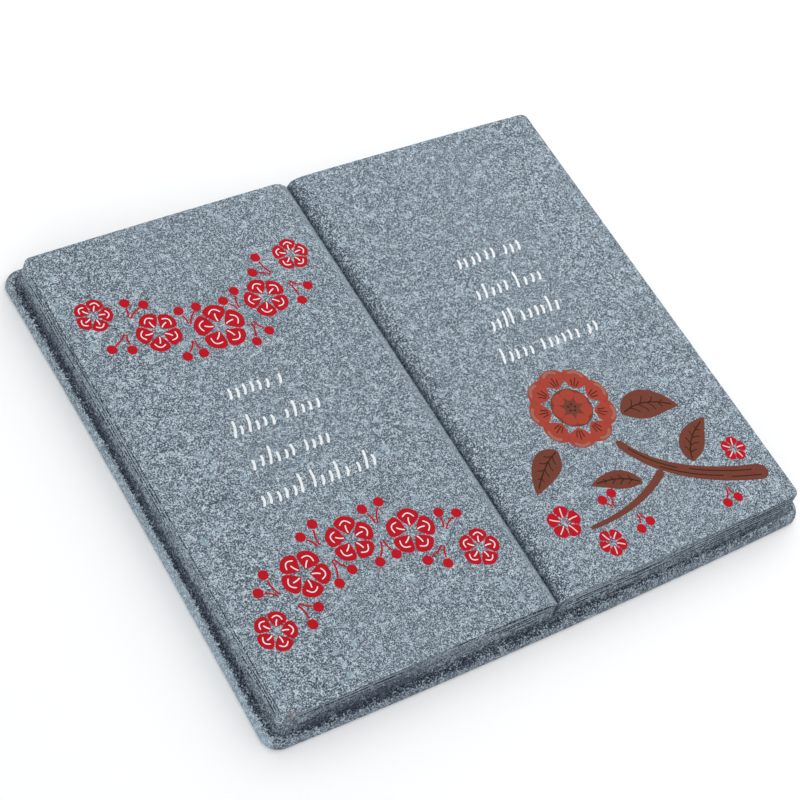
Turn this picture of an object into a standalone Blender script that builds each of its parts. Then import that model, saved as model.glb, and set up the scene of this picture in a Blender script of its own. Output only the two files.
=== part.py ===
"""Memorial plaque in the form of an open book lying flat, cast in one piece of speckled grey resin.

A thin cover slab with rounded edges carries a block of pages. The pages' tops roll down into a
gutter, and fine lines between the leaves run round the block's sides and follow that roll.
Metres, +Z up. The origin is at the middle of the underside, and the front edge is at -Y.
"""
from math import copysign, cos, pi, radians, sin, sqrt

import bmesh
import bpy

# Cover slab
COVER_WIDTH = 0.1600        # along X, across its corners
COVER_DEPTH = 0.1416        # along Y, across the middle of its front and back
COVER_THICKNESS = 0.0030
COVER_CORNER = 0.0045       # radius of its corners, seen from above
COVER_EDGE = 0.0015         # how far its rounded upper edge reaches in
UNDERSIDE_EDGE = 0.0005     # small round along the underside
SIDE_HOLLOW = 0.00065       # the left and right sides fall in by this at their middle
FRONT_BOW = 0.0012          # the ends of the front and back lie back by this from their middle

# Page block
PAGE_HEIGHT = 0.0078        # from the cover's upper face to the page tops
PAGE_FLARE = 0.0010         # the sides spread by this from top to foot
FLARE_POWER = 1.7           # they start nearly upright and spread most near the foot
PAGE_BOW = 0.0004           # the ends of the pages' front and back lie back by this
CREVICE = 0.00035           # flat floor between the pages' foot and the cover's rounded edge
PAGE_CORNER = 0.0020        # radius of the page tops' corners, seen from above
PAGE_EDGE = 0.0003          # small round along the page tops
FORE_EDGE_DROP = 0.0003     # the tops sink by this towards the outer edges
DROP_POWER = 3.0

# Gutter, where the two pages meet
GUTTER_X = -0.00015
GUTTER_DEPTH = 0.0030
LEFT_ROLL = 0.0049          # width over which the left page rolls down
LEFT_ROLL_POWER = 1.75
RIGHT_ROLL = 0.0055         # width over which the right page rises gently
RIGHT_ROLL_POWER = 2.5
RIGHT_STEP = 0.0009         # width of the steep part of the right page's rise
RIGHT_STEP_DEPTH = 0.0017   # and the height of that part
RIGHT_STEP_POWER = 2.0

# Lines between the leaves, round the sides of the page block
LINE_FIRST = 0.0010         # depth of the first line under the page tops
LINE_PITCH = 0.0010
LINE_WIDTH = 0.00036
LINE_DEPTH = 0.00026
LINE_PLAIN = 0.0022         # the foot of the block stays plain for this height
LINE_WAVE = 0.00010         # the lines wander up and down by this
LINE_WAVE_LENGTH = 0.0520
LINE_WAVE_TURN = radians(137.5)     # how far each line's wave is turned from the last one's
CORNER_WEAR = 0.35          # share of the lines' depth that is left round the corners

# Mesh steps
CORNER_STEPS = 4
PAGE_STEPS = 10
ROLL_STEPS = 6
LEFT_CROWDING = 0.7         # below 1 the steps crowd towards the gutter from the left
RIGHT_CROWDING = 2.0        # above 1 they crowd towards it from the right
SIDE_STEPS = 16
EDGE_STEPS = 4
TOP_EDGE_STEPS = 2
SHARP_ANGLE = radians(35)   # edges that bend more than this are shaded sharp

RESIN_GREY = (0.161, 0.202, 0.238, 1.0)
RESIN_ROUGHNESS = 0.7

COLUMNS = 2 * (CORNER_STEPS + PAGE_STEPS + ROLL_STEPS)
ROWS = 2 * CORNER_STEPS + SIDE_STEPS
PAGE_HALF_X = COVER_WIDTH / 2 - SIDE_HOLLOW - COVER_EDGE - CREVICE - PAGE_FLARE
PAGE_HALF_Y = COVER_DEPTH / 2 - (FRONT_BOW - PAGE_BOW) - COVER_EDGE - CREVICE - PAGE_FLARE


def between(start, end, share):
    return start + (end - start) * share


def across(column, half, radius):
    """X of a mesh column on a level with this half width and corner radius."""
    from_right = COLUMNS - column
    if column <= CORNER_STEPS:
        return -half + radius * column / CORNER_STEPS
    if from_right <= CORNER_STEPS:
        return half - radius * from_right / CORNER_STEPS
    step = column - CORNER_STEPS
    roll_start = GUTTER_X - LEFT_ROLL
    roll_end = GUTTER_X + RIGHT_ROLL
    if step <= PAGE_STEPS:
        return between(radius - half, roll_start, step / PAGE_STEPS)
    step -= PAGE_STEPS
    if step <= ROLL_STEPS:
        return between(roll_start, GUTTER_X, (step / ROLL_STEPS) ** LEFT_CROWDING)
    step -= ROLL_STEPS
    if step <= ROLL_STEPS:
        return between(GUTTER_X, roll_end, (step / ROLL_STEPS) ** RIGHT_CROWDING)
    step -= ROLL_STEPS
    return between(roll_end, half - radius, step / PAGE_STEPS)


def along(row, half, radius):
    """Y of a mesh row on a level with this half depth and corner radius."""
    from_back = ROWS - row
    if row <= CORNER_STEPS:
        return -half + radius * row / CORNER_STEPS
    if from_back <= CORNER_STEPS:
        return half - radius * from_back / CORNER_STEPS
    return between(radius - half, half - radius, (row - CORNER_STEPS) / SIDE_STEPS)


def in_plan(column, row, half_x, half_y, radius):
    """Place of a mesh point on a level, with the square corners drawn onto round ones."""
    x = across(column, half_x, radius)
    y = along(row, half_y, radius)
    a = (abs(x) - (half_x - radius)) / radius
    b = (abs(y) - (half_y - radius)) / radius
    if a <= 0 or b <= 0:
        return x, y
    round_x = half_x - radius + radius * a * sqrt(1 - b * b / 2)
    round_y = half_y - radius + radius * b * sqrt(1 - a * a / 2)
    return copysign(round_x, x), copysign(round_y, y)


def at_corner(column, row):
    return (min(column, COLUMNS - column) < CORNER_STEPS
            and min(row, ROWS - row) < CORNER_STEPS)


def gutter(x):
    """Depth of the gutter under the flat of the pages."""
    reach = x - GUTTER_X
    if reach <= 0:
        left = max(0.0, 1 + reach / LEFT_ROLL)
        return GUTTER_DEPTH * left ** LEFT_ROLL_POWER
    gentle = max(0.0, 1 - reach / RIGHT_ROLL) ** RIGHT_ROLL_POWER
    steep = max(0.0, 1 - reach / RIGHT_STEP) ** RIGHT_STEP_POWER
    return (GUTTER_DEPTH - RIGHT_STEP_DEPTH) * gentle + RIGHT_STEP_DEPTH * steep


def page_top(x):
    """Height of the page tops over the cover's upper face."""
    return PAGE_HEIGHT - gutter(x) - FORE_EDGE_DROP * abs(x / PAGE_HALF_X) ** DROP_POWER


def flare(depth):
    return PAGE_FLARE * (depth / PAGE_HEIGHT) ** FLARE_POWER


def page_point(column, row, depth, out):
    """A point of the page block, out from the page tops' outline and down by depth.

    Where the gutter makes the block lower, the depth shrinks in proportion.
    """
    half_x = PAGE_HALF_X + out
    half_y = PAGE_HALF_Y + out
    x, y = in_plan(column, row, half_x, half_y, PAGE_CORNER + out)
    bow = PAGE_BOW * (x / half_x) ** 2
    return x, y * (1 - bow / half_y), COVER_THICKNESS + page_top(x) * (1 - depth / PAGE_HEIGHT)


def line_point(column, row, number, aside):
    """A point of the groove of one leaf line, aside from its middle by -1, 0 or 1 half widths."""
    depth = LINE_FIRST + number * LINE_PITCH + aside * LINE_WIDTH / 2
    along_line = sum(page_point(column, row, depth, flare(depth))[:2])
    wander = sin(2 * pi * along_line / LINE_WAVE_LENGTH + number * LINE_WAVE_TURN)
    depth += LINE_WAVE * wander
    cut = 0.0 if aside else LINE_DEPTH
    if at_corner(column, row):
        cut *= CORNER_WEAR
    return page_point(column, row, depth, flare(depth) - cut)


def cover_point(column, row, height, inset):
    """A point of the cover slab, whose sides fall in and whose front and back bow out."""
    half_x = COVER_WIDTH / 2 - inset
    half_y = COVER_DEPTH / 2 - inset
    x, y = in_plan(column, row, half_x, half_y, COVER_CORNER - inset)
    hollow = SIDE_HOLLOW * (1 - (y / half_y) ** 2)
    bow = FRONT_BOW * (x / half_x) ** 2
    return x * (1 - hollow / half_x), y * (1 - bow / half_y), height


def levels():
    """The rims under the page tops, from the top down, each a function of column and row."""
    for step in range(1, TOP_EDGE_STEPS + 1):
        turn = pi / 2 * step / TOP_EDGE_STEPS
        depth = PAGE_EDGE * (1 - cos(turn))
        out = PAGE_EDGE * (sin(turn) - 1)
        yield lambda c, r, d=depth, o=out: page_point(c, r, d, o)
    room = PAGE_HEIGHT - LINE_FIRST - LINE_PLAIN
    for number in range(int(room / LINE_PITCH) + 1):
        for aside in (-1, 0, 1):
            yield lambda c, r, n=number, a=aside: line_point(c, r, n, a)
    yield lambda c, r: page_point(c, r, PAGE_HEIGHT, PAGE_FLARE)
    edge_height = COVER_THICKNESS - UNDERSIDE_EDGE
    for step in range(EDGE_STEPS + 1):
        turn = pi / 2 * step / EDGE_STEPS
        height = UNDERSIDE_EDGE + edge_height * cos(turn)
        inset = COVER_EDGE * (1 - sin(turn))
        yield lambda c, r, h=height, i=inset: cover_point(c, r, h, i)
    yield lambda c, r: cover_point(c, r, 0.0, UNDERSIDE_EDGE)


def make_plaque(material):
    """The page tops as a grid, whose rim is then drawn down over the sides and closed below."""
    bm = bmesh.new()
    column_of = bm.verts.layers.int.new("column")
    row_of = bm.verts.layers.int.new("row")
    bmesh.ops.create_grid(bm, x_segments=COLUMNS, y_segments=ROWS, size=1.0)
    for v in bm.verts:
        v[column_of] = round((v.co.x + 1) / 2 * COLUMNS)
        v[row_of] = round((v.co.y + 1) / 2 * ROWS)
        v.co = page_point(v[column_of], v[row_of], 0.0, -PAGE_EDGE)
    rim = [e for e in bm.edges if e.is_boundary]
    for level in levels():
        made = bmesh.ops.extrude_edge_only(bm, edges=rim)["geom"]
        for v in made:
            if isinstance(v, bmesh.types.BMVert):
                v.co = level(v[column_of], v[row_of])
        rim = [e for e in made if isinstance(e, bmesh.types.BMEdge) and e.is_boundary]
    bmesh.ops.contextual_create(bm, geom=rim)
    bmesh.ops.recalc_face_normals(bm, faces=bm.faces)
    mesh = bpy.data.meshes.new("open_book_plaque")
    bm.to_mesh(mesh)
    bm.free()
    mesh.shade_smooth()
    mesh.set_sharp_from_angle(angle=SHARP_ANGLE)
    mesh.materials.append(material)
    return bpy.data.objects.new("open_book_plaque", mesh)


def speckled_resin():
    material = bpy.data.materials.new("speckled_grey_resin")
    material.use_nodes = True
    shader = material.node_tree.nodes["Principled BSDF"]
    shader.inputs["Base Color"].default_value = RESIN_GREY
    shader.inputs["Roughness"].default_value = RESIN_ROUGHNESS
    shader.inputs["Metallic"].default_value = 0.0
    return material


def main():
    for old in list(bpy.data.objects):
        bpy.data.objects.remove(old, do_unlink=True)
    collection = bpy.data.collections.new("open_book_plaque")
    bpy.context.scene.collection.children.link(collection)
    collection.objects.link(make_plaque(speckled_resin()))


main()
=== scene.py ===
"""Looks of the open-book memorial plaque: one speckled casting with ornaments and rows printed on it.

Sizes are in millimetres in the plaque's own frame and turn into metres where a mesh is made.
"""
from math import atan2, copysign, cos, hypot, pi, radians, sin, sqrt
from random import Random

import bmesh
import bpy
from mathutils import Euler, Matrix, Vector, noise


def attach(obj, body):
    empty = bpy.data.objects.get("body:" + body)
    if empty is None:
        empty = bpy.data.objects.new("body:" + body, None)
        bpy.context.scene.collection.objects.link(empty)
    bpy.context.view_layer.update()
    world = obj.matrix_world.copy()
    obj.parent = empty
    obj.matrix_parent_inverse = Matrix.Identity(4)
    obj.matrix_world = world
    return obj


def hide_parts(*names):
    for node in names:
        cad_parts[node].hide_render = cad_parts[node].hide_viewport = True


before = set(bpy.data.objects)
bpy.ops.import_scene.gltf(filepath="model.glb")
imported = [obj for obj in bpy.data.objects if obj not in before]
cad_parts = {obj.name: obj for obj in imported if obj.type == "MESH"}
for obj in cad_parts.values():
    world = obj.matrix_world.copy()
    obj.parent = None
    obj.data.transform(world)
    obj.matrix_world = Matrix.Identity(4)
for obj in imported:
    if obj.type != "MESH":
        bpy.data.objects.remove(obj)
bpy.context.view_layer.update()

MM = 0.001

# Camera, as the photograph was taken
CAMERA_PLACE = (-0.24817, -0.19542, 0.40930)
CAMERA_TURN = (34.957, -14.881, -31.209)
CAMERA_LENS = 92.37
CAMERA_SENSOR = 36.0

# Cover slab, as in the solid
COVER_WIDTH = 160.0
COVER_DEPTH = 141.6
COVER_THICKNESS = 3.0
COVER_CORNER = 4.5
COVER_EDGE = 1.5
UNDERSIDE_EDGE = 0.5
SIDE_HOLLOW = 0.65
FRONT_BOW = 1.2

# Page block, as in the solid
PAGE_HEIGHT = 7.8
PAGE_FLARE = 1.0
FLARE_POWER = 1.7
PAGE_BOW = 0.4
CREVICE = 0.35
PAGE_CORNER = 2.0
PAGE_EDGE = 0.3
FORE_EDGE_DROP = 0.3
DROP_POWER = 3.0
PAGE_HALF_X = COVER_WIDTH / 2 - SIDE_HOLLOW - COVER_EDGE - CREVICE - PAGE_FLARE
PAGE_HALF_Y = COVER_DEPTH / 2 - (FRONT_BOW - PAGE_BOW) - COVER_EDGE - CREVICE - PAGE_FLARE

# Gutter, as in the solid
GUTTER_X = -0.15
GUTTER_DEPTH = 3.0
LEFT_ROLL = 4.9
LEFT_ROLL_POWER = 1.75
RIGHT_ROLL = 5.5
RIGHT_ROLL_POWER = 2.5
RIGHT_STEP = 0.9
RIGHT_STEP_DEPTH = 1.7
RIGHT_STEP_POWER = 2.0
CREASE_CUT = 0.5            # notch down the front and back under the gutter
CREASE_WIDTH = 1.5

# Surface
SKIN = 0.02                 # the fine surface stays inside the solid by this
INK_ROOM = 0.08             # the page tops lie lower by this, so that the ink stays inside too
UNEVEN = 0.05               # height of the casting's unevenness
UNEVEN_LENGTH = 17.0
OUTLINE_WAVE = 0.10         # the page block's sides wander in and out by this
OUTLINE_WAVE_LENGTH = 9.0

# Mesh steps
CORNER_STEPS = 8
PAGE_STEPS = 78
ROLL_STEPS = 16
LEFT_CROWDING = 0.75
RIGHT_CROWDING = 1.6
SIDE_STEPS = 152
TOP_EDGE_STEPS = 3
LEAF_STEP = 0.13            # height of the rings that carry the leaf lines
LEAF_END = 6.1              # and the depth where they end
FOOT_STEPS = 6
EDGE_STEPS = 8
COLUMNS = 2 * (CORNER_STEPS + PAGE_STEPS + ROLL_STEPS)
ROWS = 2 * CORNER_STEPS + SIDE_STEPS

# Leaf lines: start and end along the side, depths under the page tops there, and how deep they are cut
LINE_HALF_WIDTH = 0.20
LINE_SPREAD = 0.9           # deeper lines are wider by this share of their cut
LEDGE_WIDTH = 0.45          # a lighter leaf edge shows this far above each line
LINE_TAPER = 4.0
LINE_WAVES = ((47.0, 0.07), (15.0, 0.04))
CORNER_WEAR = 0.4           # share of the lines that is left round the corners
LEFT_LINES = (
    (-26, 64, 0.70, 0.75, 0.22),
    (-66, -22, 0.75, 0.80, 0.18),
    (28, 62, 1.50, 1.60, 0.10),
    (-14, 30, 2.25, 2.20, 0.14),
    (26, 60, 2.15, 2.30, 0.16),
    (-66, -50, 2.10, 2.20, 0.20),
    (-52, -20, 2.20, 2.20, 0.10),
    (-18, 26, 3.30, 3.35, 0.13),
    (40, 63, 3.30, 3.40, 0.16),
    (-66, -46, 3.20, 3.40, 0.16),
    (6, 58, 4.40, 4.60, 0.12),
    (-60, -20, 4.60, 4.80, 0.08),
)
FRONT_LINES = (
    (-76, -43, 0.35, 0.40, 0.16),
    (-70, -46, 1.10, 1.30, 0.08),
    (-75, -43, 1.80, 2.30, 0.24),
    (-66, -44, 3.30, 3.50, 0.10),
    (-45, -28, 4.20, 4.40, 0.10),
    (-36, -1, 0.40, 1.15, 0.34),
    (-34, -20, 1.90, 2.00, 0.08),
    (-22, -3, 2.95, 3.00, 0.28),
    (-21, -4, 3.90, 3.85, 0.16),
    (-17, -4, 5.10, 4.90, 0.18),
    (0, 12, 0.80, 0.60, 0.14),
    (0, 37, 2.30, 2.40, 0.08),
    (1, 33, 3.55, 3.30, 0.28),
    (1, 31, 4.30, 4.20, 0.14),
    (1, 36, 5.40, 5.20, 0.18),
    (32, 53, 3.20, 3.00, 0.22),
    (34, 57, 4.10, 3.90, 0.14),
    (36, 58, 5.00, 4.80, 0.14),
    (52, 76, 1.10, 0.70, 0.20),
    (50, 75, 2.90, 2.00, 0.30),
    (53, 76, 3.90, 3.10, 0.24),
    (56, 75, 4.80, 4.10, 0.16),
    (44, 74, 5.80, 5.30, 0.16),
)
FULL_CUT = 0.12             # cuts of this depth look fully dark

# Lines of the sides that the photograph doesn't show: how many on each, and the ranges of their sizes
HIDDEN_LINES = 22
HIDDEN_LENGTH = (14, 52)
HIDDEN_DEPTH = (0.8, 4.8)
HIDDEN_SLOPE = (-0.3, 0.3)
HIDDEN_CUT = (0.10, 0.26)

# Dark band in the crevice, partly wash and partly painted shade: place along the side, where it starts
# and ends from the foot, and strength
LEFT_WASH_AND_SHADE = (
    (-69, -0.2, 0.5, 0.0),
    (-65, -0.3, 1.2, 0.55),
    (-58, -0.8, 1.3, 0.85),
    (-48, -1.4, 1.0, 1.0),
    (-31, -2.1, 0.85, 1.0),
    (-5, -1.8, 1.0, 0.95),
    (25, -1.5, 1.1, 0.95),
    (45, -1.5, 1.05, 0.95),
    (60, -1.3, 1.2, 0.85),
    (66, -0.8, 0.8, 0.6),
    (70, -0.4, 0.4, 0.0),
)
FRONT_WASH_AND_SHADE = (
    (-78, -1.0, 0.3, 0.0),
    (-75, -2.0, 0.5, 0.35),
    (-70, -2.9, 0.9, 0.95),
    (-63, -3.0, 1.2, 1.0),
    (-49, -3.0, 1.4, 1.0),
    (-34, -1.4, 1.6, 0.8),
    (-17, -1.6, 1.8, 0.75),
    (-1, -1.8, 1.7, 0.65),
    (13, -1.1, 1.3, 0.65),
    (30, -1.0, 0.7, 0.55),
    (48, -1.4, 0.7, 0.45),
    (65, -2.3, 0.3, 0.55),
    (76, -1.0, 0.3, 0.2),
)
# Painted shade makes the front and back walls darker than the pages: place along them, and how much
FRONT_PAINTED_SHADE = ((-76, 0.5), (-60, 0.7), (-46, 0.8), (-32, 0.5), (0, 0.5), (40, 0.55), (60, 0.8), (76, 0.7))
SIDE_PAINTED_SHADE = (0.1, 0.75)     # painted shade at the top and at the foot of the left and right walls
RIM_PAINTED_SHADE = 0.45             # painted shade on the cover's front and back edge
RIM_WEAR = (1.0, 0.3)       # paler wear on its left and right edge, towards the front and the back
WASH_AND_SHADE_SOFT = 1.3             # width over which the wash and painted shade thin out
SLOPE_SHADE_WIDTH = 5.8           # painted shade darkens the right page over this much of its rise
ROLL_WIDTH = 3.8            # the left page is smoother and lighter over this much of its roll, a painted highlight
CREASE_SHADE_HALF = 0.35          # half width of the painted shade along the gutter's crease
CREASE_SHARE = 0.45         # and its strength beside that of the notches in the front and back

FULL_PAINTED_SHADE = (0.32, 0.33, 0.36, 1)    # what full painted shade leaves of the light

# Single marks, by their places
WORN_CORNER = (-74.8, -66.2, 10.4)
PALE_SPECK = (-77.6, 58.7, 3.6)
TAN_SPECK = (17.0, -68.6, 3.05)

# Printing ink
INK_SUNK = 0.010            # the films reach this far into the pages
INK_THICKNESS = 0.030
WHITE = (250, 252, 253)
PALE = (246, 228, 226)
RED = (197, 22, 38)
BRICK = (178, 72, 58)
BRICK_RIM = (168, 113, 98)
BROWN = (124, 67, 54)
DARK_BROWN = (66, 42, 24)

PAGE_LIGHT = 1.17           # how bright the lamps and the sky make the page tops

# Map for the export, a square picture with this many pixels on a side
MAP_SIDE = 1024
MAP_GAP = 4
TOP_PIXELS = 5.5            # per millimetre, on the page tops
SIDE_PIXELS = 5.0
UNDER_PIXELS = 0.95


def between(start, end, share):
    return start + (end - start) * share


def smooth(share):
    share = min(max(share, 0.0), 1.0)
    return share * share * (3 - 2 * share)


def wander(place, length, row):
    """Smooth noise between -1 and 1 along a side, another one for each row."""
    return noise.noise(Vector((place / length, row, 0)))


def placed(index, knots, steps, crowding):
    """Where a mesh line lies among knots that are joined by these numbers of steps."""
    for start, end, count, power in zip(knots, knots[1:], steps, crowding):
        if index <= count:
            return between(start, end, (index / count) ** power)
        index -= count
    return knots[-1]


def across(column, half, radius):
    roll_start = GUTTER_X - LEFT_ROLL
    roll_end = GUTTER_X + RIGHT_ROLL
    knots = (-half, radius - half, roll_start, GUTTER_X, roll_end, half - radius, half)
    steps = (CORNER_STEPS, PAGE_STEPS, ROLL_STEPS, ROLL_STEPS, PAGE_STEPS, CORNER_STEPS)
    return placed(column, knots, steps, (1, 1, LEFT_CROWDING, RIGHT_CROWDING, 1, 1))


def along(row, half, radius):
    knots = (-half, radius - half, half - radius, half)
    return placed(row, knots, (CORNER_STEPS, SIDE_STEPS, CORNER_STEPS), (1, 1, 1))


def in_plan(column, row, half_x, half_y, radius):
    """Place of a mesh point on a level, with the square corners drawn onto round ones."""
    x = across(column, half_x, radius)
    y = along(row, half_y, radius)
    a = (abs(x) - (half_x - radius)) / radius
    b = (abs(y) - (half_y - radius)) / radius
    if a <= 0 or b <= 0:
        return x, y
    round_x = half_x - radius + radius * a * sqrt(1 - b * b / 2)
    round_y = half_y - radius + radius * b * sqrt(1 - a * a / 2)
    return copysign(round_x, x), copysign(round_y, y)


def gutter(x):
    """Depth of the gutter under the flat of the pages."""
    reach = x - GUTTER_X
    if reach <= 0:
        return GUTTER_DEPTH * max(0.0, 1 + reach / LEFT_ROLL) ** LEFT_ROLL_POWER
    gentle = max(0.0, 1 - reach / RIGHT_ROLL) ** RIGHT_ROLL_POWER
    steep = max(0.0, 1 - reach / RIGHT_STEP) ** RIGHT_STEP_POWER
    return (GUTTER_DEPTH - RIGHT_STEP_DEPTH) * gentle + RIGHT_STEP_DEPTH * steep


def page_top(x, y):
    """Height of the page tops over the cover's upper face."""
    fall = FORE_EDGE_DROP * abs(x / PAGE_HALF_X) ** DROP_POWER
    dent = UNEVEN * (0.5 + 0.5 * noise.noise(Vector((x, y, 0)) / UNEVEN_LENGTH))
    return PAGE_HEIGHT - INK_ROOM - gutter(x) - fall - dent


def flare(depth):
    return PAGE_FLARE * (depth / PAGE_HEIGHT) ** FLARE_POWER


def page_point(column, row, depth, out):
    """A point of the page block, out from the page tops' outline and down by depth."""
    half_x = PAGE_HALF_X + out
    half_y = PAGE_HALF_Y + out
    x, y = in_plan(column, row, half_x, half_y, PAGE_CORNER + out)
    bow = PAGE_BOW * (x / half_x) ** 2
    y *= 1 - bow / half_y
    return x, y, COVER_THICKNESS + page_top(x, y) * (1 - depth / PAGE_HEIGHT)


def side_of(column, row):
    """The side of the plaque that a rim point belongs to, and whether it is on a corner."""
    from_side = min(column, COLUMNS - column)
    from_end = min(row, ROWS - row)
    corner = from_side < CORNER_STEPS and from_end < CORNER_STEPS
    if from_side < from_end:
        return ("left" if column < COLUMNS / 2 else "right"), corner
    return ("front" if row < ROWS / 2 else "back"), corner


class LeafLine:
    """One line between the leaves, with its waves and its ends that run out."""

    def __init__(self, start, end, start_depth, end_depth, cut, dice):
        self.start = start
        self.end = end
        self.start_depth = start_depth
        self.end_depth = end_depth
        self.cut = cut
        self.half_width = LINE_HALF_WIDTH + LINE_SPREAD * cut
        self.turns = [dice.uniform(0, 2 * pi) for wave in LINE_WAVES]
        self.seed = dice.uniform(0, 100)

    def at(self, place, depth):
        """How deep the line is cut here, and how much this is the light edge above it."""
        if not self.start < place < self.end:
            return 0.0, 0.0
        share = (place - self.start) / (self.end - self.start)
        middle = between(self.start_depth, self.end_depth, share)
        for (length, height), turn in zip(LINE_WAVES, self.turns):
            middle += height * sin(2 * pi * place / length + turn)
        off = (depth - middle) / self.half_width
        ledge = (middle - self.half_width - depth) / LEDGE_WIDTH
        ends = smooth((place - self.start) / LINE_TAPER) * smooth((self.end - place) / LINE_TAPER)
        strength = self.cut * ends * (0.85 + 0.4 * wander(place, 3.1, self.seed))
        if abs(off) < 1:
            return strength * (1 - off * off), 0.0
        if 0 < ledge < 1:
            return 0.0, strength * sin(pi * ledge)
        return 0.0, 0.0


def hidden_lines(dice, half):
    """Lines of a side that the photograph doesn't show, in the same manner as on the others."""
    for number in range(HIDDEN_LINES):
        length = dice.uniform(*HIDDEN_LENGTH)
        start = dice.uniform(-half, half - length)
        depth = dice.uniform(*HIDDEN_DEPTH)
        end_depth = depth + dice.uniform(*HIDDEN_SLOPE)
        yield start, start + length, depth, end_depth, dice.uniform(*HIDDEN_CUT)


def leaf_lines():
    dice = Random(4)
    given = {
        "left": LEFT_LINES,
        "front": FRONT_LINES,
        "right": list(hidden_lines(dice, PAGE_HALF_Y)),
        "back": list(hidden_lines(dice, PAGE_HALF_X)),
    }
    return {side: [LeafLine(*line, dice) for line in lines] for side, lines in given.items()}


LEAF_LINES = leaf_lines()
WASH_AND_SHADE = {"left": LEFT_WASH_AND_SHADE, "front": FRONT_WASH_AND_SHADE, "right": LEFT_WASH_AND_SHADE, "back": FRONT_WASH_AND_SHADE}


def along_knots(knots, place):
    """What a table of knots gives at a place along a side."""
    if place <= knots[0][0]:
        return knots[0][1:]
    for first, second in zip(knots, knots[1:]):
        if place <= second[0]:
            share = smooth((place - first[0]) / (second[0] - first[0]))
            return [between(a, b, share) for a, b in zip(first[1:], second[1:])]
    return knots[-1][1:]


def wash_and_shade_at(side, place, from_foot):
    """How much of the dark band, partly wash and partly painted shade, lies here, out from the foot of
    the pages.
    """
    start, end, strength = along_knots(WASH_AND_SHADE[side], place)
    start += 0.5 * wander(place, 4.0, 3.0)
    end += 0.4 * wander(place, 3.0, 7.0)
    strength *= 1 + 0.35 * wander(place, 5.0, 11.0)
    inside = smooth((from_foot - start) / WASH_AND_SHADE_SOFT + 0.5) * smooth((end - from_foot) / WASH_AND_SHADE_SOFT + 0.5)
    return inside * strength


def painted_shade_at(side, place, depth):
    """How much darker painted shade makes the page block's walls than its tops."""
    if side in ("front", "back"):
        return along_knots(FRONT_PAINTED_SHADE, place)[0] * smooth(depth / 0.8)
    return between(*SIDE_PAINTED_SHADE, smooth((depth - 2.5) / 4)) * smooth(depth / 0.5)


def gutter_paint(x):
    """Painted shade on the right page's rise and in the crease, and a painted highlight that lightens
    and smooths the left page's roll.
    """
    reach = x - GUTTER_X
    slope = (1 - smooth(reach / SLOPE_SHADE_WIDTH)) if reach > -0.1 else 0.0
    roll = smooth(-reach / 0.6) * (1 - smooth((-reach - ROLL_WIDTH * 0.5) / (ROLL_WIDTH * 0.5)))
    crease = CREASE_SHARE * (1 - smooth(abs(reach) / CREASE_SHADE_HALF))
    return {"slope": slope, "roll": roll, "crease": crease}


def side_point(column, row, depth):
    """A point of the page block's sides with its leaf lines, and what is painted on it."""
    side, corner = side_of(column, row)
    x, y = page_point(column, row, depth, flare(depth))[:2]
    place = x if side in ("front", "back") else y
    cut, ledge = map(max, zip(*(line.at(place, depth) for line in LEAF_LINES[side])))
    if corner:
        cut *= CORNER_WEAR
        ledge *= CORNER_WEAR
    wave = OUTLINE_WAVE * (noise.noise(Vector((x, y, depth * 1.5)) / OUTLINE_WAVE_LENGTH) - 1)
    crease = 0.0
    if side in ("front", "back"):
        crease = 1 - smooth(abs(x - GUTTER_X) / CREASE_WIDTH)
    out = flare(depth) - cut - CREASE_CUT * crease + wave
    return page_point(column, row, depth, out), {
        "side": smooth(depth / 0.6),
        "groove": smooth(cut / FULL_CUT),
        "ledge": smooth(ledge / FULL_CUT) * (1 - smooth(cut / FULL_CUT)),
        "wash_and_shade": wash_and_shade_at(side, place, depth - PAGE_HEIGHT),
        "crease": crease * smooth(2.2 - depth / 4),
        "painted_shade": painted_shade_at(side, place, depth),
    }


def cover_point(column, row, height, inset, from_foot):
    """A point of the cover slab, whose sides fall in and whose front and back bow out."""
    side, corner = side_of(column, row)
    half_x = COVER_WIDTH / 2 - SKIN - inset
    half_y = COVER_DEPTH / 2 - SKIN - inset
    x, y = in_plan(column, row, half_x, half_y, COVER_CORNER - inset)
    x *= 1 - SIDE_HOLLOW * (1 - (y / half_y) ** 2) / half_x
    y *= 1 - FRONT_BOW * (x / half_x) ** 2 / half_y
    rim = smooth((from_foot - 0.3) / 0.8)
    if side in ("front", "back"):
        # The cover's front and back edge get painted shade
        return (x, y, height), {"wash_and_shade": wash_and_shade_at(side, x, from_foot), "painted_shade": RIM_PAINTED_SHADE * rim}
    wear = between(*RIM_WEAR, smooth((y + 25) / 75))
    return (x, y, height), {"wash_and_shade": wash_and_shade_at(side, y, from_foot), "rim": rim * wear}


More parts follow.
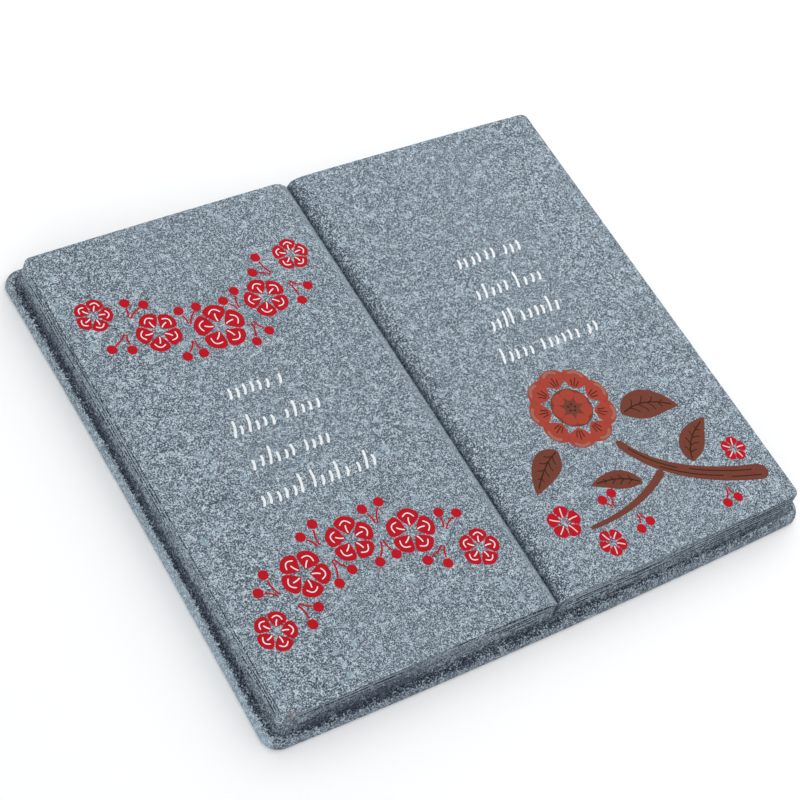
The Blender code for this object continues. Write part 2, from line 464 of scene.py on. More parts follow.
def levels():
    """The rims under the page tops, from the top down.

    Each is a function that gives a point and its paints, and the way down the surface to it.
    """
    for step in range(1, TOP_EDGE_STEPS + 1):
        turn = pi / 2 * step / TOP_EDGE_STEPS
        depth = PAGE_EDGE * (1 - cos(turn))
        out = PAGE_EDGE * (sin(turn) - 1) - OUTLINE_WAVE
        paint = {"side": 0.3 * smooth(depth / PAGE_EDGE)}
        yield lambda c, r, d=depth, o=out, p=paint: (page_point(c, r, d, o), p), PAGE_EDGE * turn
    leaf_steps = round((LEAF_END - PAGE_EDGE) / LEAF_STEP)
    depths = [between(PAGE_EDGE, LEAF_END, step / leaf_steps) for step in range(1, leaf_steps + 1)]
    depths += [between(LEAF_END, PAGE_HEIGHT, step / FOOT_STEPS) for step in range(1, FOOT_STEPS + 1)]
    for depth in depths:
        yield lambda c, r, d=depth: side_point(c, r, d), depth + PAGE_EDGE
    edge_height = COVER_THICKNESS - UNDERSIDE_EDGE
    edge_radius = (COVER_EDGE + edge_height) / 2
    for step in range(EDGE_STEPS + 1):
        turn = pi / 2 * step / EDGE_STEPS
        height = UNDERSIDE_EDGE + edge_height * cos(turn)
        inset = COVER_EDGE * (1 - sin(turn))
        way = CREVICE + edge_radius * turn
        level = lambda c, r, h=height, i=inset, w=way: cover_point(c, r, h, i, w)
        yield level, PAGE_HEIGHT + PAGE_EDGE + way
    way += UNDERSIDE_EDGE * sqrt(2)
    yield lambda c, r: cover_point(c, r, 0.0, UNDERSIDE_EDGE, way), PAGE_HEIGHT + PAGE_EDGE + way


def lay_out_map(bm, way_of, column_of, row_of):
    """Spreads the surface on the export's map: page tops, four side strips above, underside beside."""
    uv = bm.loops.layers.uv.new("OFBake")
    strips = ("front", "back", "left", "right")
    way_end = max(v[way_of] for v in bm.verts)
    strip_height = way_end * SIDE_PIXELS + MAP_GAP
    strips_start = 2 * PAGE_HALF_Y * TOP_PIXELS + 2 * MAP_GAP
    under_start = 2 * PAGE_HALF_X * TOP_PIXELS + 2 * MAP_GAP

    def on_top(v):
        across_map = (v.co.x + PAGE_HALF_X) * TOP_PIXELS + MAP_GAP
        return across_map, (v.co.y + PAGE_HALF_Y) * TOP_PIXELS + MAP_GAP

    def below(v):
        across_map = under_start + (v.co.x + COVER_WIDTH / 2) * UNDER_PIXELS
        return across_map, (v.co.y + COVER_DEPTH / 2) * UNDER_PIXELS + MAP_GAP

    def on_strip(v, side):
        place = v.co.x if side in ("front", "back") else v.co.y
        base = strips_start + strips.index(side) * strip_height
        return (place + COVER_WIDTH / 2) * SIDE_PIXELS + MAP_GAP, base + v[way_of] * SIDE_PIXELS

    for face in bm.faces:
        ways = [v[way_of] for v in face.verts]
        if max(ways) == 0:
            pixels_of = on_top
        elif min(ways) == way_end:
            pixels_of = below
        else:
            column = sum(v[column_of] for v in face.verts) / len(ways)
            row = sum(v[row_of] for v in face.verts) / len(ways)
            side, corner = side_of(column, row)
            pixels_of = lambda v, s=side: on_strip(v, s)
        for loop in face.loops:
            pixels = pixels_of(loop.vert)
            loop[uv].uv = (pixels[0] / MAP_SIDE, pixels[1] / MAP_SIDE)


def casting_mesh():
    """The page tops as a grid, whose rim is drawn down over the sides and closed below."""
    bm = bmesh.new()
    column_of = bm.verts.layers.int.new("column")
    row_of = bm.verts.layers.int.new("row")
    way_of = bm.verts.layers.float.new("way")
    names = ("side", "painted_shade", "groove", "ledge", "wash_and_shade", "rim", "slope", "roll", "crease")
    paints = {name: bm.verts.layers.float.new(name) for name in names}
    bmesh.ops.create_grid(bm, x_segments=COLUMNS, y_segments=ROWS, size=1.0)
    for v in bm.verts:
        v[column_of] = round((v.co.x + 1) / 2 * COLUMNS)
        v[row_of] = round((v.co.y + 1) / 2 * ROWS)
        v.co = page_point(v[column_of], v[row_of], 0.0, -PAGE_EDGE - OUTLINE_WAVE)
        for name, amount in gutter_paint(v.co.x).items():
            v[paints[name]] = amount
    rim = [e for e in bm.edges if e.is_boundary]
    for level, way in levels():
        made = bmesh.ops.extrude_edge_only(bm, edges=rim)["geom"]
        for v in made:
            if isinstance(v, bmesh.types.BMVert):
                v.co, paint = level(v[column_of], v[row_of])
                v[way_of] = way
                for name in names:
                    v[paints[name]] = paint.get(name, 0.0)
        rim = [e for e in made if isinstance(e, bmesh.types.BMEdge) and e.is_boundary]
    bmesh.ops.contextual_create(bm, geom=rim)
    bmesh.ops.recalc_face_normals(bm, faces=bm.faces)
    lay_out_map(bm, way_of, column_of, row_of)
    bmesh.ops.scale(bm, vec=(MM, MM, MM), verts=bm.verts)
    mesh = bpy.data.meshes.new("cast_book")
    bm.to_mesh(mesh)
    bm.free()
    mesh.shade_smooth()
    mesh.set_sharp_from_angle(angle=radians(50))
    return mesh


def curve_point(start, bend, end, share):
    """A point of the curve from start to end that is drawn towards bend."""
    rest = 1 - share
    x = rest * rest * start[0] + 2 * rest * share * bend[0] + share * share * end[0]
    y = rest * rest * start[1] + 2 * rest * share * bend[1] + share * share * end[1]
    return x, y


def towards(start, angle, length):
    return start[0] + length * cos(angle), start[1] + length * sin(angle)


class InkFilm:
    """Gathers thin closed sheets that lie on the pages into one mesh."""

    def __init__(self, layer=0):
        self.bm = bmesh.new()
        self.low = layer * INK_THICKNESS - INK_SUNK
        self.high = (layer + 1) * INK_THICKNESS

    def on_page(self, point, height):
        x, y = point
        return self.bm.verts.new((x, y, COVER_THICKNESS + page_top(x, y) + height))

    def patch(self, corners):
        """A face, with corners that fall together taken once."""
        self.bm.faces.new(list(dict.fromkeys(corners)))

    def sheet(self, rows):
        """A closed sheet from rows of points across it; a row of one point is a tip."""
        under = [[self.on_page(p, self.low) for p in row] for row in rows]
        over = [[self.on_page(p, self.high) for p in row] for row in rows]
        for skin in (under, over):
            for first, second in zip(skin, skin[1:]):
                for i in range(max(len(first), len(second)) - 1):
                    a = min(i, len(first) - 1), min(i + 1, len(first) - 1)
                    b = min(i, len(second) - 1), min(i + 1, len(second) - 1)
                    self.patch((first[a[0]], first[a[1]], second[b[1]], second[b[0]]))
        for side in (0, -1):
            edge = [(u[side], o[side]) for u, o in zip(under, over)]
            for (u0, o0), (u1, o1) in zip(edge, edge[1:]):
                self.patch((u0, u1, o1, o0))

    def ribbon(self, spine, half_widths):
        """A sheet along a spine of points, pointed where its width is nothing."""
        rows = []
        for i, (point, half) in enumerate(zip(spine, half_widths)):
            if half < 1e-6:
                rows.append([point])
                continue
            x0, y0 = spine[max(i - 1, 0)]
            x1, y1 = spine[min(i + 1, len(spine) - 1)]
            length = hypot(x1 - x0, y1 - y0)
            aside = (y0 - y1) / length * half, (x1 - x0) / length * half
            left = point[0] + aside[0], point[1] + aside[1]
            right = point[0] - aside[0], point[1] - aside[1]
            rows.append([left, point, right])
        self.sheet(rows)

    def blade(self, start, bend, end, half, skew=1.0, fullness=0.8, steps=10):
        """A leaf or petal, widest towards its start for a skew below 1."""
        shares = [(1 - cos(pi * k / steps)) / 2 for k in range(steps + 1)]
        spine = [curve_point(start, bend, end, share) for share in shares]
        widths = [half * max(0.0, sin(pi * share ** skew)) ** fullness for share in shares]
        widths[0] = widths[-1] = 0.0
        self.ribbon(spine, widths)

    def stroke(self, start, bend, end, half, steps=5):
        """A line of even width with round ends."""
        length = hypot(end[0] - start[0], end[1] - start[1])
        caps = [half * share for share in (0.0, 0.13, 0.5, 1.0)]
        middle = [between(half, length - half, k / steps) for k in range(1, steps)]
        places = caps + middle + [length - cap for cap in reversed(caps)]
        spine = [curve_point(start, bend, end, place / length) for place in places]
        ends = [min(place, length - place, half) / half for place in places]
        self.ribbon(spine, [half * sqrt(max(0.0, 1 - (1 - near) ** 2)) for near in ends])

    def disc(self, centre, radius, steps=10):
        turns = [pi * k / steps for k in range(steps + 1)]
        spine = [(centre[0] - radius * cos(turn), centre[1]) for turn in turns]
        self.ribbon(spine, [radius * sin(turn) for turn in turns])

    def tapered(self, start, bend, end, start_half, end_half, steps=14):
        """A stem that grows thinner, with blunt ends that are rounded off."""
        middle = [between(0.08, 0.92, k / steps) for k in range(steps + 1)]
        shares = [0.0, 0.012, 0.04] + middle + [0.96, 0.988, 1.0]
        spine = [curve_point(start, bend, end, share) for share in shares]
        widths = []
        for share in shares:
            rounding = sqrt(max(0.0, 1 - (1 - min(share, 1 - share, 0.05) / 0.05) ** 2))
            widths.append(between(start_half, end_half, share) * rounding)
        self.ribbon(spine, widths)

    def mesh(self, name):
        bmesh.ops.recalc_face_normals(self.bm, faces=self.bm.faces)
        bmesh.ops.scale(self.bm, vec=(MM, MM, MM), verts=self.bm.verts)
        mesh = bpy.data.meshes.new(name)
        self.bm.to_mesh(mesh)
        self.bm.free()
        return mesh


def blossom(film, centre, radius, turn, petals=5):
    """A flower of rounded petals that don't touch."""
    for number in range(petals):
        angle = turn + 2 * pi * number / petals
        start = towards(centre, angle, radius * 0.20)
        end = towards(centre, angle, radius)
        bend = towards(centre, angle, radius * 0.6)
        film.blade(start, bend, end, radius * 0.44 * 5 / petals, skew=1.5, fullness=0.62)


def blossom_veins(film, centre, radius, turn, petals=5):
    """A pale line up each petal, under a pale arc on the larger flowers."""
    for number in range(petals):
        angle = turn + 2 * pi * number / petals
        reach = 0.60 if radius > ARC_RADIUS else 0.86
        start = towards(centre, angle, radius * 0.26)
        bend = towards(centre, angle + 0.10, radius * 0.45)
        film.stroke(start, bend, towards(centre, angle, radius * reach), 0.15)
        if radius > ARC_RADIUS:
            start = towards(centre, angle - 0.36, radius * 0.66)
            bend = towards(centre, angle, radius * 0.95)
            film.stroke(start, bend, towards(centre, angle + 0.36, radius * 0.66), 0.14, steps=7)


def berries(film, root, angle, reach):
    """Two berries on short stalks."""
    for side, share in ((-1, 1.0), (1, 0.8)):
        way = angle + side * 0.46
        stalk = reach * share - BERRY_RADIUS
        start = towards(root, angle + side * pi / 2, 0.35)
        bend = towards(root, angle + side * 0.2, stalk * 0.5)
        film.stroke(start, bend, towards(root, way, stalk), 0.22, steps=3)
        film.disc(towards(root, way, stalk + BERRY_RADIUS + 0.15), BERRY_RADIUS)


# Festoons of the left page: middle, half width, height of the middle, and how far the ends lie off
SWAG = (-39.8, 29.0, 31.5, 15.0)
ARCH = (-39.8, 29.0, -33.0, -15.0)
SWAG_BLOSSOMS = ((-0.96, 4.9), (-0.52, 5.9), (0.0, 6.8), (0.52, 5.9), (0.96, 4.9))
ARCH_BLOSSOMS = ((-0.97, 5.2), (-0.51, 6.3), (0.0, 6.2), (0.51, 6.3), (0.97, 5.2))
ARC_RADIUS = 4.8            # flowers larger than this have the arcs too
BERRY_RADIUS = 1.3


def festoon_point(festoon, share):
    middle, half, height, ends = festoon
    return middle + half * share, height + ends * share * share


def festoon(shape, blossoms, seed, red, white):
    dice = Random(seed)
    for share, radius in blossoms:
        centre = festoon_point(shape, share)
        turn = dice.uniform(0, 2 * pi)
        blossom(red, centre, radius, turn)
        blossom_veins(white, centre, radius, turn)
    for (share, radius), (next_share, next_radius) in zip(blossoms, blossoms[1:]):
        middle = (share + next_share) / 2
        x, y = festoon_point(shape, middle)
        slope = atan2(2 * shape[3] * middle, shape[1])
        for side in (-1, 1):
            way = slope + side * pi / 2
            root = towards((x, y), way, 2.4)
            berries(red, root, way + dice.uniform(-0.12, 0.12), dice.uniform(5.0, 6.0))


# Rows of strokes in the places of the inscription: left end, right end, height of the row's middle
LEFT_ROWS = ((-47.7, -32.4, 13.6), (-51.9, -28.1, 3.8), (-51.9, -28.1, -5.9), (-54.6, -22.9, -15.7))
RIGHT_ROWS = ((28.6, 48.4, 27.8), (28.2, 51.0, 17.4), (26.5, 50.5, 7.6), (23.7, 55.3, -2.2))
STROKE_HALF = 0.34
STROKE_PITCH = 2.15
STROKE_LEAN = radians(76)
STROKE_BOW = (0.5, 0.8)
TALL_SHARE = 0.22
TALL_STROKE = (4.6, 5.4)
SHORT_STROKE = (2.5, 3.3)
STROKE_DROP = 2.0           # the strokes start this far under the row's middle
GROUP_SIZE = (3, 6)
GROUP_GAP = 1.5


def stroke_rows(film, rows, seed):
    """Slanted shallow arcs of two heights, in groups, that all bend the same way and don't touch."""
    dice = Random(seed)
    for left, right, middle in rows:
        x = left
        left_in_group = dice.randint(*GROUP_SIZE)
        while x < right:
            height = dice.uniform(*(TALL_STROKE if dice.random() < TALL_SHARE else SHORT_STROKE))
            lean = STROKE_LEAN + dice.uniform(-0.08, 0.08)
            start = x, middle - STROKE_DROP + dice.uniform(-0.2, 0.2)
            end = towards(start, lean, height)
            bend = (start[0] + end[0]) / 2 + dice.uniform(*STROKE_BOW), (start[1] + end[1]) / 2
            film.stroke(start, bend, end, STROKE_HALF)
            x += STROKE_PITCH * dice.uniform(0.9, 1.12)
            left_in_group -= 1
            if left_in_group == 0:
                x += GROUP_GAP
                left_in_group = dice.randint(*GROUP_SIZE)


BLOOM_CENTRE = (33.0, -22.0)
BLOOM_RADIUS = 12.0
OUTER_PETALS = 9
INNER_PETALS = 7


def petal_ring(film, petals, turn, inner, outer, half):
    """Petals round the bloom's middle, between two shares of its radius."""
    for number in range(petals):
        angle = turn + 2 * pi * number / petals
        start = towards(BLOOM_CENTRE, angle, BLOOM_RADIUS * inner)
        end = towards(BLOOM_CENTRE, angle, BLOOM_RADIUS * outer)
        bend = towards(BLOOM_CENTRE, angle, BLOOM_RADIUS * (inner + outer) / 2)
        film.blade(start, bend, end, BLOOM_RADIUS * half, skew=1.35, fullness=0.6, steps=14)


def brick_bloom(brick, inner_brick, rims, ground, dark):
    """A rosette: an outer ring of petals with paler rims, and an inner ring on a brown ground."""
    petal_ring(brick, OUTER_PETALS, 0.2, 0.50, 1.0, 0.315)
    ground.disc(BLOOM_CENTRE, BLOOM_RADIUS * 0.475, steps=20)
    petal_ring(inner_brick, INNER_PETALS, 0.4, 0.17, 0.46, 0.165)
    for number in range(OUTER_PETALS):
        angle = 0.2 + 2 * pi * number / OUTER_PETALS
        left = towards(BLOOM_CENTRE, angle - 0.20, BLOOM_RADIUS * 0.88)
        right = towards(BLOOM_CENTRE, angle + 0.20, BLOOM_RADIUS * 0.88)
        rims.stroke(left, towards(BLOOM_CENTRE, angle, BLOOM_RADIUS * 1.03), right, 0.42, steps=6)
        for aside in (-0.12, 0.0, 0.12):
            start = towards(BLOOM_CENTRE, angle + aside * 0.6, BLOOM_RADIUS * 0.57)
            bend = towards(BLOOM_CENTRE, angle + aside * 0.9, BLOOM_RADIUS * 0.67)
            end = towards(BLOOM_CENTRE, angle + aside, BLOOM_RADIUS * (0.80 - abs(aside) * 0.5))
            dark.stroke(start, bend, end, 0.13)
    for number in range(5):
        dark.disc(towards(BLOOM_CENTRE, number * 2 * pi / 5, BLOOM_RADIUS * 0.085), 0.30, steps=6)


# Brown leaves of the right page: root, bend, tip, half width
BROWN_LEAVES = (
    ((44.6, -28.6), (52.5, -26.0), (61.0, -32.0), 4.4),
    ((22.0, -31.5), (17.0, -33.0), (9.8, -40.5), 3.7),
    ((54.5, -47.6), (56.5, -41.5), (65.5, -37.5), 3.5),
    ((38.0, -47.6), (33.0, -43.4), (24.5, -43.4), 2.7),
)
# Stems: start, bend, end, half widths at both
STEMS = (
    ((38.4, -34.8), (44.0, -50.5), (72.5, -57.5), 1.1, 2.4),
    ((45.0, -46.6), (33.0, -54.0), (17.5, -53.5), 1.1, 0.55),
)
# Dark lines along the first stem: start and end as shares of its length, and how far aside
STEM_LINES = ((0.10, 0.48, 0.40), (0.36, 0.76, -0.60), (0.56, 0.92, 0.80), (0.80, 0.96, -0.90))
# Small red blossoms of the right page: centre and radius
SMALL_BLOSSOMS = (((12.2, -49.5), 4.6), ((20.5, -59.0), 3.8), ((67.5, -48.5), 3.6))
BERRY_SPRIGS = (((31.5, -54.6), -1.5, 4.2), ((26.5, -50.9), 1.6, 4.0), ((58.5, -57.4), -1.7, 4.4))


def leaf_with_veins(leaves, veins, root, bend, tip, half):
    leaves.blade(root, bend, tip, half, skew=0.85, fullness=0.85, steps=12)
    rib_start = curve_point(root, bend, tip, 0.06)
    veins.stroke(rib_start, bend, curve_point(root, bend, tip, 0.9), 0.17, steps=8)
    for number in range(4):
        share = 0.2 + 0.17 * number
        foot = curve_point(root, bend, tip, share)
        ahead = curve_point(root, bend, tip, share + 0.1)
        way = atan2(ahead[1] - foot[1], ahead[0] - foot[0])
        reach = half * 0.72 * sin(pi * (share + 0.1) ** 0.85)
        for side in (-1, 1):
            end = towards(foot, way + side * 0.85, reach)
            veins.stroke(foot, towards(foot, way + side * 0.5, reach * 0.6), end, 0.13, steps=3)


def right_spray(brown, dark):
    """Stems and leaves under the bloom, with dark lines along them."""
    for start, bend, end, start_half, end_half in STEMS:
        brown.tapered(start, bend, end, start_half, end_half)
    for root, bend, tip, half in BROWN_LEAVES:
        leaf_with_veins(brown, dark, root, bend, tip, half)
    start, bend, end, start_half, end_half = STEMS[0]
    for first, last, aside in STEM_LINES:
        middle = (first + last) / 2
        points = []
        for share in (first, middle, last):
            here = curve_point(start, bend, end, share)
            ahead = curve_point(start, bend, end, share + 0.01)
            way = atan2(ahead[1] - here[1], ahead[0] - here[0])
            points.append(towards(here, way + pi / 2, aside))
        chord = (points[0][0] + points[2][0]) / 2, (points[0][1] + points[2][1]) / 2
        pulled = 2 * points[1][0] - chord[0], 2 * points[1][1] - chord[1]
        dark.stroke(points[0], pulled, points[2], 0.15, steps=9)


class Shades:
    """Builds the node tree of one material, a node for each call."""

    def __init__(self, name, roughness, gloss):
        self.material = bpy.data.materials.new(name)
        self.material.use_nodes = True
        self.tree = self.material.node_tree
        self.shader = self.tree.nodes["Principled BSDF"]
        self.shader.inputs["Roughness"].default_value = roughness
        self.shader.inputs["Specular IOR Level"].default_value = gloss
        place = self.tree.nodes.new("ShaderNodeTexCoord").outputs["Object"]
        scaled = self.tree.nodes.new("ShaderNodeVectorMath")
        scaled.operation = "SCALE"
        scaled.inputs["Scale"].default_value = 1 / MM
        self.tree.links.new(place, scaled.inputs[0])
        self.place = scaled.outputs[0]

    def feed(self, socket, value):
        if isinstance(value, bpy.types.NodeSocket):
            self.tree.links.new(value, socket)
        else:
            socket.default_value = value

    def math(self, operation, first, second):
        node = self.tree.nodes.new("ShaderNodeMath")
        node.operation = operation
        self.feed(node.inputs[0], first)
        self.feed(node.inputs[1], second)
        return node.outputs[0]

    def times(self, first, second):
        return self.math("MULTIPLY", first, second)

    def about(self, centre, *parts):
        """A sum of noises, each taken from its middle and times its amount."""
        total = centre
        for socket, amount in parts:
            swing = self.times(self.math("SUBTRACT", socket, 0.5), amount)
            total = self.math("ADD", swing, total)
        return total

    def moved(self, scale=(1, 1, 1)):
        node = self.tree.nodes.new("ShaderNodeMapping")
        node.inputs["Scale"].default_value = scale
        self.tree.links.new(self.place, node.inputs["Vector"])
        return node.outputs[0]

    def noise(self, length, detail=0.0, place=None):
        """Soft noise whose blobs are about this many millimetres apart."""
        node = self.tree.nodes.new("ShaderNodeTexNoise")
        node.inputs["Scale"].default_value = 1 / length
        node.inputs["Detail"].default_value = detail
        self.tree.links.new(place or self.place, node.inputs["Vector"])
        return node.outputs["Fac"]

    def chips(self, length, share, growth, wobble):
        """1 inside scattered rounded chips of different sizes, a share of the grains that fill space."""
        node = self.tree.nodes.new("ShaderNodeTexVoronoi")
        node.inputs["Scale"].default_value = 1 / length
        self.tree.links.new(self.place, node.inputs["Vector"])
        parts = self.tree.nodes.new("ShaderNodeSeparateColor")
        self.tree.links.new(node.outputs["Color"], parts.inputs[0])
        size = self.times(self.math("SUBTRACT", parts.outputs[0], 1 - share), growth)
        inside = self.math("SUBTRACT", size, node.outputs["Distance"])
        return self.span(self.about(inside, wobble), -0.10, 0.10)

    def ramp(self, value, *stops):
        """Colours that follow a value between stops of (value, colour)."""
        node = self.tree.nodes.new("ShaderNodeValToRGB")
        elements = node.color_ramp.elements
        while len(elements) < len(stops):
            elements.new(0.5)
        for element, (position, colour) in zip(elements, stops):
            element.position = position
            element.color = colour
        self.feed(node.inputs["Fac"], value)
        return node.outputs["Color"]

    def span(self, value, low, high):
        """0 below low, 1 above high, and smooth between."""
        node = self.tree.nodes.new("ShaderNodeMapRange")
        node.interpolation_type = "SMOOTHSTEP"
        node.inputs["From Min"].default_value = low
        node.inputs["From Max"].default_value = high
        self.feed(node.inputs["Value"], value)
        return node.outputs["Result"]

    def mix(self, share, first, second, blend="MIX"):
        node = self.tree.nodes.new("ShaderNodeMix")
        node.data_type = "RGBA"
        node.blend_type = blend
        self.feed(node.inputs[0], share)
        self.feed(node.inputs[6], first)
        self.feed(node.inputs[7], second)
        return node.outputs[2]

    def painted(self, name):
        node = self.tree.nodes.new("ShaderNodeAttribute")
        node.attribute_name = name
        return node.outputs["Fac"]

    def near(self, point, inner, outer, scale=(1, 1, 1)):
        """1 within the inner distance of a point, 0 beyond the outer one; a low scale stretches it."""
        node = self.tree.nodes.new("ShaderNodeVectorMath")
        node.operation = "DISTANCE"
        self.tree.links.new(self.moved(scale), node.inputs[0])
        node.inputs[1].default_value = [p * k for p, k in zip(point, scale)]
        return self.math("SUBTRACT", 1.0, self.span(node.outputs["Value"], inner, outer))

    def bump(self, height, distance, strength):
        node = self.tree.nodes.new("ShaderNodeBump")
        node.inputs["Distance"].default_value = distance * MM
        node.inputs["Strength"].default_value = strength
        self.feed(node.inputs["Height"], height)
        self.tree.links.new(node.outputs["Normal"], self.shader.inputs["Normal"])

    def colour(self, socket):
        self.feed(self.shader.inputs["Base Color"], socket)


def srgb(red, green, blue):
    """The surface colour that looks like this one, of 0 to 255, in the light on the page tops."""
    def linear(value):
        value /= 255
        return value / 12.92 if value <= 0.04045 else ((value + 0.055) / 1.055) ** 2.4
    return linear(red) / PAGE_LIGHT, linear(green) / PAGE_LIGHT, linear(blue) / PAGE_LIGHT, 1.0


def fine_grain(s, medium):
    """The speckle, from about 0 where it is dark to 1 where it is light."""
    grain = s.about(
        0.435,
        (s.noise(3.5), 0.10),
        (medium, 0.15),
        (s.noise(0.28), 1.85),
        (s.noise(0.42), 0.75),
    )
    for length, low, amount in ((0.90, 0.58, 0.25), (2.2, 0.60, 0.15)):
        grain = s.math("ADD", grain, s.times(s.span(s.noise(length), low, 0.68), amount))
    return grain


def streaks_rims_and_painted_shade(s, body, grain):
    """Streaks on the walls, painted shade on the walls and the cover's front and back edge, paler rims,
    a painted highlight on the left roll, and painted shade on the right page's rise.
    """
    # Horizontal streaks on the walls, mixed toward a darker colour, which also paints shade on the walls
    streaks = s.noise(1.0, detail=2.0, place=s.moved(scale=(0.12, 0.12, 3.2)))
    streaked = s.mix(s.times(s.span(streaks, 0.42, 0.64), 0.5), body, srgb(84, 94, 108))
    body = s.mix(s.times(s.painted("side"), 0.25), body, streaked)
    # Painted shade: walls darker than the page tops, most at their foot, and the cover's front and back
    # edge darker
    body = s.mix(s.painted("painted_shade"), body, FULL_PAINTED_SHADE, blend="MULTIPLY")
    body = s.mix(s.times(s.painted("rim"), 0.38), body, srgb(172, 190, 202))
    # Painted highlight on the left page's roll, which also smooths its grain
    body = s.mix(s.times(s.painted("roll"), 0.28), body, srgb(176, 190, 200))
    # Painted shade on the right page's rise beside the gutter
    slope = s.painted("slope")
    over_grain = s.span(s.about(slope, (grain, -2.4)), 0.15, 0.75)
    slope_shade_mask = s.times(over_grain, s.span(slope, 0.0, 0.35))
    return s.mix(s.times(slope_shade_mask, 0.48), body, srgb(58, 66, 80))


def darkened(s, body, grain, medium):
    """The crevice's band of wash and painted shade, painted shade in the crease, and the leaf lines with
    a paler edge above each.
    """
    body = s.mix(s.times(s.painted("ledge"), 0.60), body, srgb(168, 184, 196))
    # Dark band in the crevice, partly wash and partly painted shade
    wash_and_shade = s.painted("wash_and_shade")
    blotted = s.span(s.about(wash_and_shade, (grain, -0.9), (medium, -1.3)), 0.15, 0.80)
    wash_and_shade_mask = s.times(blotted, s.span(wash_and_shade, 0.05, 0.45))
    washed_and_shaded = s.ramp(grain, (0.15, srgb(30, 36, 50)), (0.90, srgb(92, 104, 120)))
    body = s.mix(s.times(wash_and_shade_mask, 0.94), body, washed_and_shaded)
    # Painted shade in the gutter's crease and in the notches under it
    body = s.mix(s.times(s.painted("crease"), 0.85), body, srgb(46, 52, 64))
    groove = s.painted("groove")
    broken = s.span(s.about(groove, (grain, -1.0)), 0.25, 0.75)
    groove_mask = s.times(broken, s.span(groove, 0.0, 0.2))
    return s.mix(s.times(groove_mask, 0.92), body, srgb(38, 44, 54))


def speckled_resin():
    """Blue-grey granite effect: fine grain with light chips, and a dark band in the crevice, partly wash
    and partly painted shade.
    """
    s = Shades("speckled_grey_resin", 0.72, 0.2)
    medium = s.noise(0.70)
    grain = fine_grain(s, medium)
    dark, grey, light = srgb(64, 74, 86), srgb(124, 138, 150), srgb(206, 220, 229)
    body = s.ramp(grain, (0.05, dark), (0.5, grey), (0.95, light))
    wobble = s.noise(0.6), 0.3
    body = s.mix(s.times(s.chips(2.4, 0.36, 1.1, wobble), 0.55), body, srgb(168, 192, 206))
    body = s.mix(s.times(s.chips(1.4, 0.32, 1.1, wobble), 0.60), body, srgb(184, 204, 214))
    body = streaks_rims_and_painted_shade(s, body, grain)
    body = darkened(s, body, grain, medium)
    worn = s.near(WORN_CORNER, 0.3, 1.0, scale=(0.45, 1, 1))
    body = s.mix(s.times(worn, 0.5), body, srgb(122, 108, 98))
    body = s.mix(s.near(PALE_SPECK, 0.20, 0.45), body, srgb(205, 198, 170))
    body = s.mix(s.near(TAN_SPECK, 0.12, 0.34), body, srgb(168, 140, 84))
    s.colour(body)
    s.bump(medium, 0.02, 0.2)
    return s.material


def ink(name, colour):
    """A thin matt film of printing ink, slightly uneven."""
    s = Shades(name, 0.6, 0.05)
    full = srgb(*colour)
    thin = tuple(c * 0.93 for c in full[:3]) + (1.0,)
    s.colour(s.ramp(s.noise(0.9, detail=1.0), (0.35, thin), (0.65, full)))
    return s.material


def add_piece(name, mesh, material):
    piece = bpy.data.objects.new(name, mesh)
    bpy.context.scene.collection.objects.link(piece)
    mesh.materials.append(material)
    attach(piece, "root")
    return piece


def add_print(name, film, ink_name, colour):
    add_piece(name, film.mesh(name), ink(ink_name, colour))


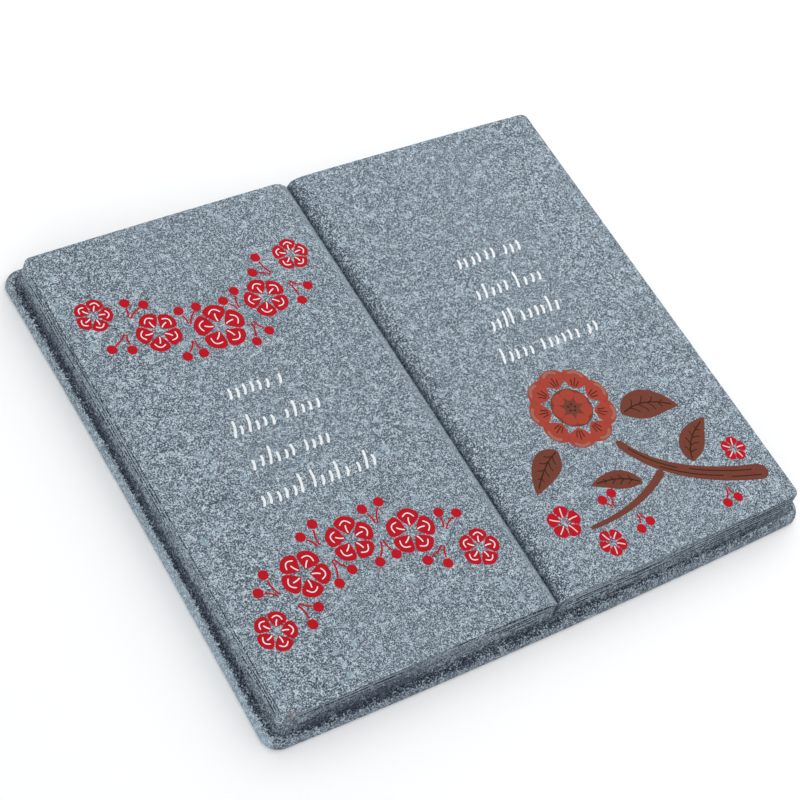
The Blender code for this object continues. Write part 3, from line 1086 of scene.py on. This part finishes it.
def add_prints():
    for name, rows, seed in (("left_white_rows", LEFT_ROWS, 11), ("right_white_rows", RIGHT_ROWS, 12)):
        white = InkFilm()
        stroke_rows(white, rows, seed)
        add_print(name, white, "white_ink", WHITE)

    red = InkFilm()
    veins = InkFilm(1)
    festoon(SWAG, SWAG_BLOSSOMS, 21, red, veins)
    festoon(ARCH, ARCH_BLOSSOMS, 22, red, veins)
    add_print("left_red_festoons", red, "red_ink", RED)
    add_print("left_white_veins", veins, "white_ink", WHITE)

    red = InkFilm()
    veins = InkFilm(1)
    dice = Random(31)
    for centre, radius in SMALL_BLOSSOMS:
        turn = dice.uniform(0, 2 * pi)
        blossom(red, centre, radius, turn)
        blossom_veins(veins, centre, radius, turn)
    for root, angle, reach in BERRY_SPRIGS:
        berries(red, root, angle, reach)
    add_print("right_red_blossoms", red, "red_ink", RED)
    add_print("right_pale_veins", veins, "pale_ink", PALE)

    brick = InkFilm()
    inner_brick = InkFilm(1)
    rims = InkFilm(1)
    brown = InkFilm()
    dark = InkFilm(1)
    brick_bloom(brick, inner_brick, rims, brown, dark)
    right_spray(brown, dark)
    add_print("right_brick_bloom", brick, "brick_ink", BRICK)
    add_print("right_inner_bloom", inner_brick, "brick_ink", BRICK)
    add_print("right_bloom_rims", rims, "rim_ink", BRICK_RIM)
    add_print("right_brown_spray", brown, "brown_ink", BROWN)
    add_print("right_dark_lines", dark, "dark_ink", DARK_BROWN)


def add_light(name, place, size, power, colour=(1, 1, 1)):
    lamp = bpy.data.lights.new(name, "AREA")
    lamp.size = size
    lamp.energy = power
    lamp.color = colour
    light = bpy.data.objects.new(name, lamp)
    light.location = place
    light.rotation_euler = (-Vector(place)).to_track_quat("-Z", "Y").to_euler()
    bpy.context.scene.collection.objects.link(light)


def add_stage():
    mesh = bpy.data.meshes.new("floor")
    bm = bmesh.new()
    bmesh.ops.create_grid(bm, x_segments=1, y_segments=1, size=3.0)
    bm.to_mesh(mesh)
    bm.free()
    floor = bpy.data.objects.new("floor", mesh)
    bpy.context.scene.collection.objects.link(floor)
    material = bpy.data.materials.new("pale_floor")
    material.use_nodes = True
    shader = material.node_tree.nodes["Principled BSDF"]
    shader.inputs["Base Color"].default_value = (1, 1, 1, 1)
    shader.inputs["Roughness"].default_value = 0.9
    mesh.materials.append(material)


def add_light_and_camera():
    scene = bpy.context.scene
    world = bpy.data.worlds.new("studio")
    world.use_nodes = True
    background = world.node_tree.nodes["Background"]
    background.inputs["Color"].default_value = (0.97, 0.985, 1.0, 1)
    background.inputs["Strength"].default_value = 0.78
    scene.world = world
    add_light("key", (0.20, 0.13, 0.32), 0.46, 0.76, (1.0, 0.99, 0.975))
    add_light("low_fill", (-0.60, -0.50, 0.16), 0.50, 1.6)
    data = bpy.data.cameras.new("camera")
    data.sensor_width = CAMERA_SENSOR
    data.lens = CAMERA_LENS
    data.clip_end = 20.0
    camera = bpy.data.objects.new("camera", data)
    camera.location = CAMERA_PLACE
    camera.rotation_euler = Euler([radians(a) for a in CAMERA_TURN])
    scene.collection.objects.link(camera)
    scene.camera = camera
    scene.view_settings.view_transform = "Standard"


add_light_and_camera()
add_stage()
book = add_piece("cast_book", casting_mesh(), speckled_resin())
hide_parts("open_book_plaque")
add_prints()
